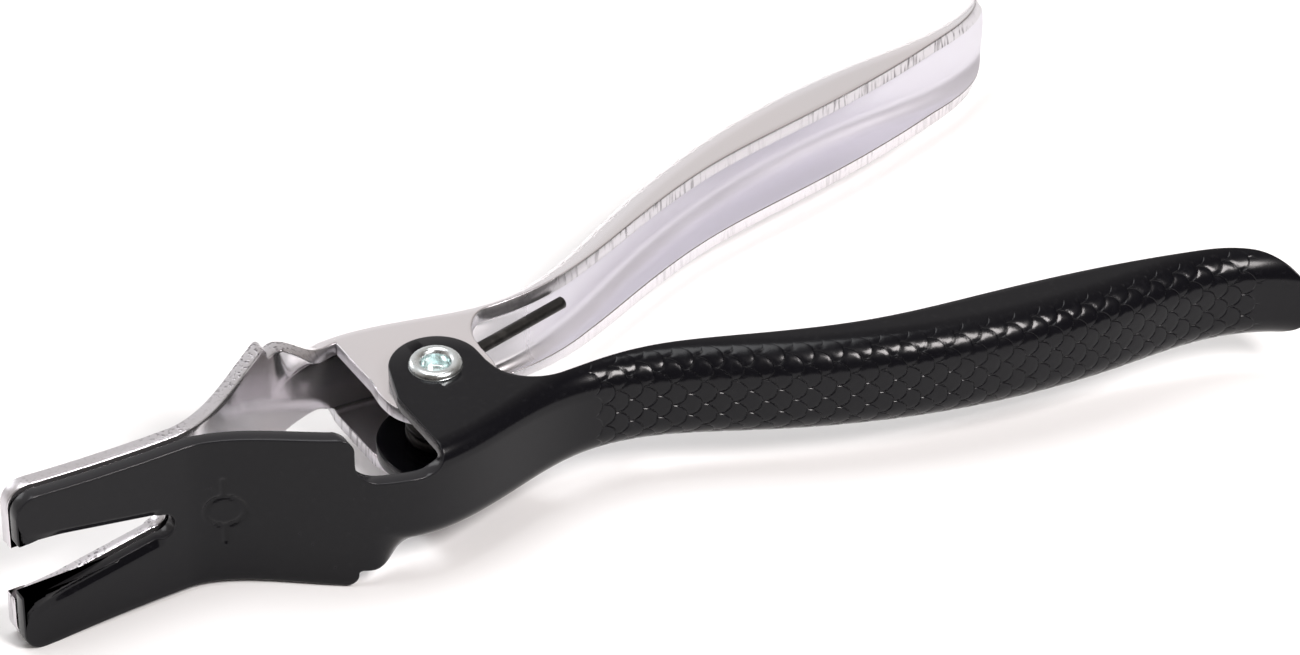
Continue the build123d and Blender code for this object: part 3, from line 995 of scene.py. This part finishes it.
class PLIERS_OT_spring(Operator):
    """Wind the torsion spring: a close coil round the rivet with a straight leg at each end"""
    bl_idname = "pliers.spring"
    bl_label = "Wind Spring"
    CLEAR = 0.2 * MM  # between the rivet's shank and the coil
    END_GAP = 0.3 * MM  # a leg's path stops this far short of the wire's end
    EASE = 0.18 * MM
    COIL_POINTS = 260
    LEG_POINTS = 40

    def execute(self, context):
        sizes = context.scene.pliers_rivet
        wire = sizes.wire / 2
        radius = sizes.shank + self.CLEAR + wire
        rise = SPRING_HIGH.z - SPRING_LOW.z - sizes.wire
        swept = 2 * np.pi * sizes.turns + np.pi - 2 * sizes.leg_angle
        turn = np.linspace(0, 1, self.COIL_POINTS)
        angle = -np.pi / 2 - sizes.leg_angle - swept * turn
        coil = np.stack([radius * np.cos(angle), radius * np.sin(angle),
                         MIDDLE + rise * (turn - 0.5)], -1)
        legs = []
        for start, side in ((coil[0], -1), (coil[-1], 1)):
            along = np.array([np.cos(sizes.leg_angle), side * np.sin(sizes.leg_angle), 0])
            length = (SPRING_HIGH.x - self.END_GAP - start[0]) / along[0]
            legs.append(start + along * np.linspace(0, length, self.LEG_POINTS)[1:, None])
        path = np.concatenate([legs[0][::-1], coil, legs[1]])
        points, faces = tube(path, wire, self.EASE)
        piece = outward(make_piece("torsion_spring_wound", points, faces))
        finish_piece(piece, spring_wire(context.scene.pliers_colours), "spring_wire", None,
                     "torsion_spring")
        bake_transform(piece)
        return {"FINISHED"}


class PLIERS_OT_stage(Operator):
    """Set the pale floor, the soft studio lights and the camera"""
    bl_idname = "pliers.stage"
    bl_label = "Set Stage"
    FLOOR_HALF = 3.0  # half the floor's width
    AIM = Vector((0.03, 0, MIDDLE))  # what the lamps point at
    CAMERA_AIM = Vector((0.0329, -0.0159, MIDDLE + 0.0158))
    CAMERA_AWAY = 1.1627
    AZIMUTH = np.radians(-30.5)
    ELEVATION = np.radians(37.5)
    ROLL = np.radians(-0.45)
    # each lamp's name, place, width, power in watts and tint
    LAMPS = (
        ("key", (-0.05, 0.10, 0.80), 0.45, 3.4, (0.97, 0.98, 1.0)),
        ("back", (-0.25, 0.65, 0.30), 0.30, 0.8, (0.97, 0.98, 1.0)),
        ("front", (0.13, -0.48, 0.54), 0.20, 5.0, (1.0, 0.95, 0.94)))

    def execute(self, context):
        corners = np.array([(-1, -1, 0), (1, -1, 0), (1, 1, 0), (-1, 1, 0)]) * self.FLOOR_HALF
        floor = make_piece("floor", corners + [0, 0, CAD_BOUNDS[0].z], [[0, 1, 2, 3]])
        paint = Finish("floor_paint")
        paint.shader.inputs["Base Color"].default_value = (0.90, 0.90, 0.90, 1)
        paint.shader.inputs["Roughness"].default_value = 0.9
        floor.data.materials.append(paint.material)

        world = bpy.data.worlds.new("studio")
        world.use_nodes = True
        background = world.node_tree.nodes["Background"]
        self.grade_sky(world.node_tree, background)
        context.scene.world = world
        for name, place, width, power, tint in self.LAMPS:
            lamp = bpy.data.lights.new(name, "AREA")
            lamp.size = width
            lamp.energy = power
            lamp.color = tint
            holder = bpy.data.objects.new(name, lamp)
            holder.location = place
            holder.rotation_euler = (self.AIM - Vector(place)).to_track_quat("-Z", "Y").to_euler()
            context.scene.collection.objects.link(holder)

        level = np.cos(self.ELEVATION)
        back = Vector((np.sin(self.AZIMUTH) * level, -np.cos(self.AZIMUTH) * level,
                       np.sin(self.ELEVATION)))
        lens = bpy.data.cameras.new("camera")
        lens.lens = 190
        lens.sensor_width = 36
        lens.clip_end = 20
        camera = bpy.data.objects.new("camera", lens)
        camera.location = self.CAMERA_AIM + back * self.CAMERA_AWAY
        upright = back.to_track_quat("Z", "Y")
        camera.rotation_euler = (upright @ Quaternion((0, 0, 1), self.ROLL)).to_euler()
        context.scene.collection.objects.link(camera)
        context.scene.camera = camera
        context.scene.view_settings.view_transform = "Standard"
        return {"FINISHED"}

    def grade_sky(self, tree, background):
        """A soft studio sky: dim towards the front, brighter towards the back wall."""
        place = tree.nodes.new("ShaderNodeTexCoord")
        split = tree.nodes.new("ShaderNodeSeparateXYZ")
        shade = tree.nodes.new("ShaderNodeMapRange")
        tree.links.new(place.outputs["Generated"], split.inputs[0])
        tree.links.new(split.outputs["Y"], shade.inputs["Value"])
        # how far back the sky starts and stops to brighten, and its two strengths
        for socket, value in (("From Min", -0.3), ("From Max", 0.9), ("To Min", 0.12),
                              ("To Max", 0.80)):
            shade.inputs[socket].default_value = value
        tree.links.new(shade.outputs["Result"], background.inputs["Strength"])
        tint = tree.nodes.new("ShaderNodeMix")
        tint.data_type = "RGBA"
        tree.links.new(shade.outputs["Result"], tint.inputs[0])
        tint.inputs[6].default_value = (1.0, 0.86, 0.74, 1)
        tint.inputs[7].default_value = (0.98, 0.98, 1.0, 1)
        tree.links.new(tint.outputs[2], background.inputs["Color"])


class PLIERS_PT_panel(Panel):
    """Lists the pieces and their sizes"""
    bl_idname = "PLIERS_PT_panel"
    bl_label = "Hose Separating Pliers"
    bl_space_type = "VIEW_3D"
    bl_region_type = "UI"
    bl_category = "Pliers"

    def draw(self, context):
        for step in STEPS:
            self.layout.operator(step.bl_idname)
        for name in GROUPS:
            group = getattr(context.scene, name)
            box = self.layout.box()
            for prop in group.bl_rna.properties:
                if prop.identifier not in ("rna_type", "name"):
                    box.prop(group, prop.identifier)


GROUPS = {
    "pliers_sheet": SheetSizes,
    "pliers_rivet": RivetSizes,
    "pliers_colours": FinishColours,
}
STEPS = (PLIERS_OT_levers, PLIERS_OT_rivet, PLIERS_OT_spring, PLIERS_OT_stage)


def register():
    for kind in (*GROUPS.values(), *STEPS, PLIERS_PT_panel):
        bpy.utils.register_class(kind)
    for name, group in GROUPS.items():
        setattr(bpy.types.Scene, name, PointerProperty(type=group))


def unregister():
    for name in GROUPS:
        delattr(bpy.types.Scene, name)
    for kind in (PLIERS_PT_panel, *STEPS[::-1], *GROUPS.values()):
        bpy.utils.unregister_class(kind)


def main():
    """Builds every piece in order."""
    register()
    bpy.ops.pliers.levers()
    bpy.ops.pliers.rivet()
    bpy.ops.pliers.spring()
    bpy.ops.pliers.stage()


if __name__ == "__main__":
    main()
